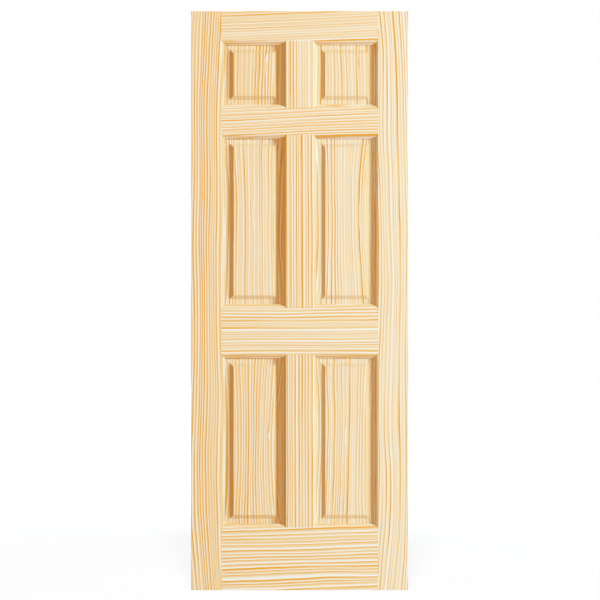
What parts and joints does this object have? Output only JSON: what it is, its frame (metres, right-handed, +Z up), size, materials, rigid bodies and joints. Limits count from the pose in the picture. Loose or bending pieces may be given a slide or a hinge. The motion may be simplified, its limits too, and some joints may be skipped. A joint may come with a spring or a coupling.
{
  "type": "six-panel door slab",
  "caption": "Interior door slab in clear pine: stiles, rails and mullions coped over an ovolo moulded edge, round raised panels that float in grooves.",
  "frame": {"origin": "bottom corner of the hinge edge, on the outer edge face of the left stile at the middle of the thickness", "axes": "+X across the door from the hinge edge to the lock edge, +Y through the thickness from the front to the back, +Z up"},
  "size_m": [0.762, 0.035, 2.032],
  "materials": {
    "pine_upright": "bare sanded clear pine, grain upright",
    "pine_rail": "bare sanded clear pine, grain across",
    "pine_panel": "bare sanded clear pine, grain upright"
  },
  "bodies": {
    "root": {"left_stile": "pine_upright", "right_stile": "pine_upright", "bottom_rail": "pine_rail", "lock_rail": "pine_rail", "frieze_rail": "pine_rail", "top_rail": "pine_rail", "lower_mullion": "pine_upright", "middle_mullion": "pine_upright", "top_mullion": "pine_upright", "lower_left_panel": "pine_panel", "lower_right_panel": "pine_panel", "middle_left_panel": "pine_panel", "middle_right_panel": "pine_panel", "top_left_panel": "pine_panel", "top_right_panel": "pine_panel"}
  },
  "joints": []
}
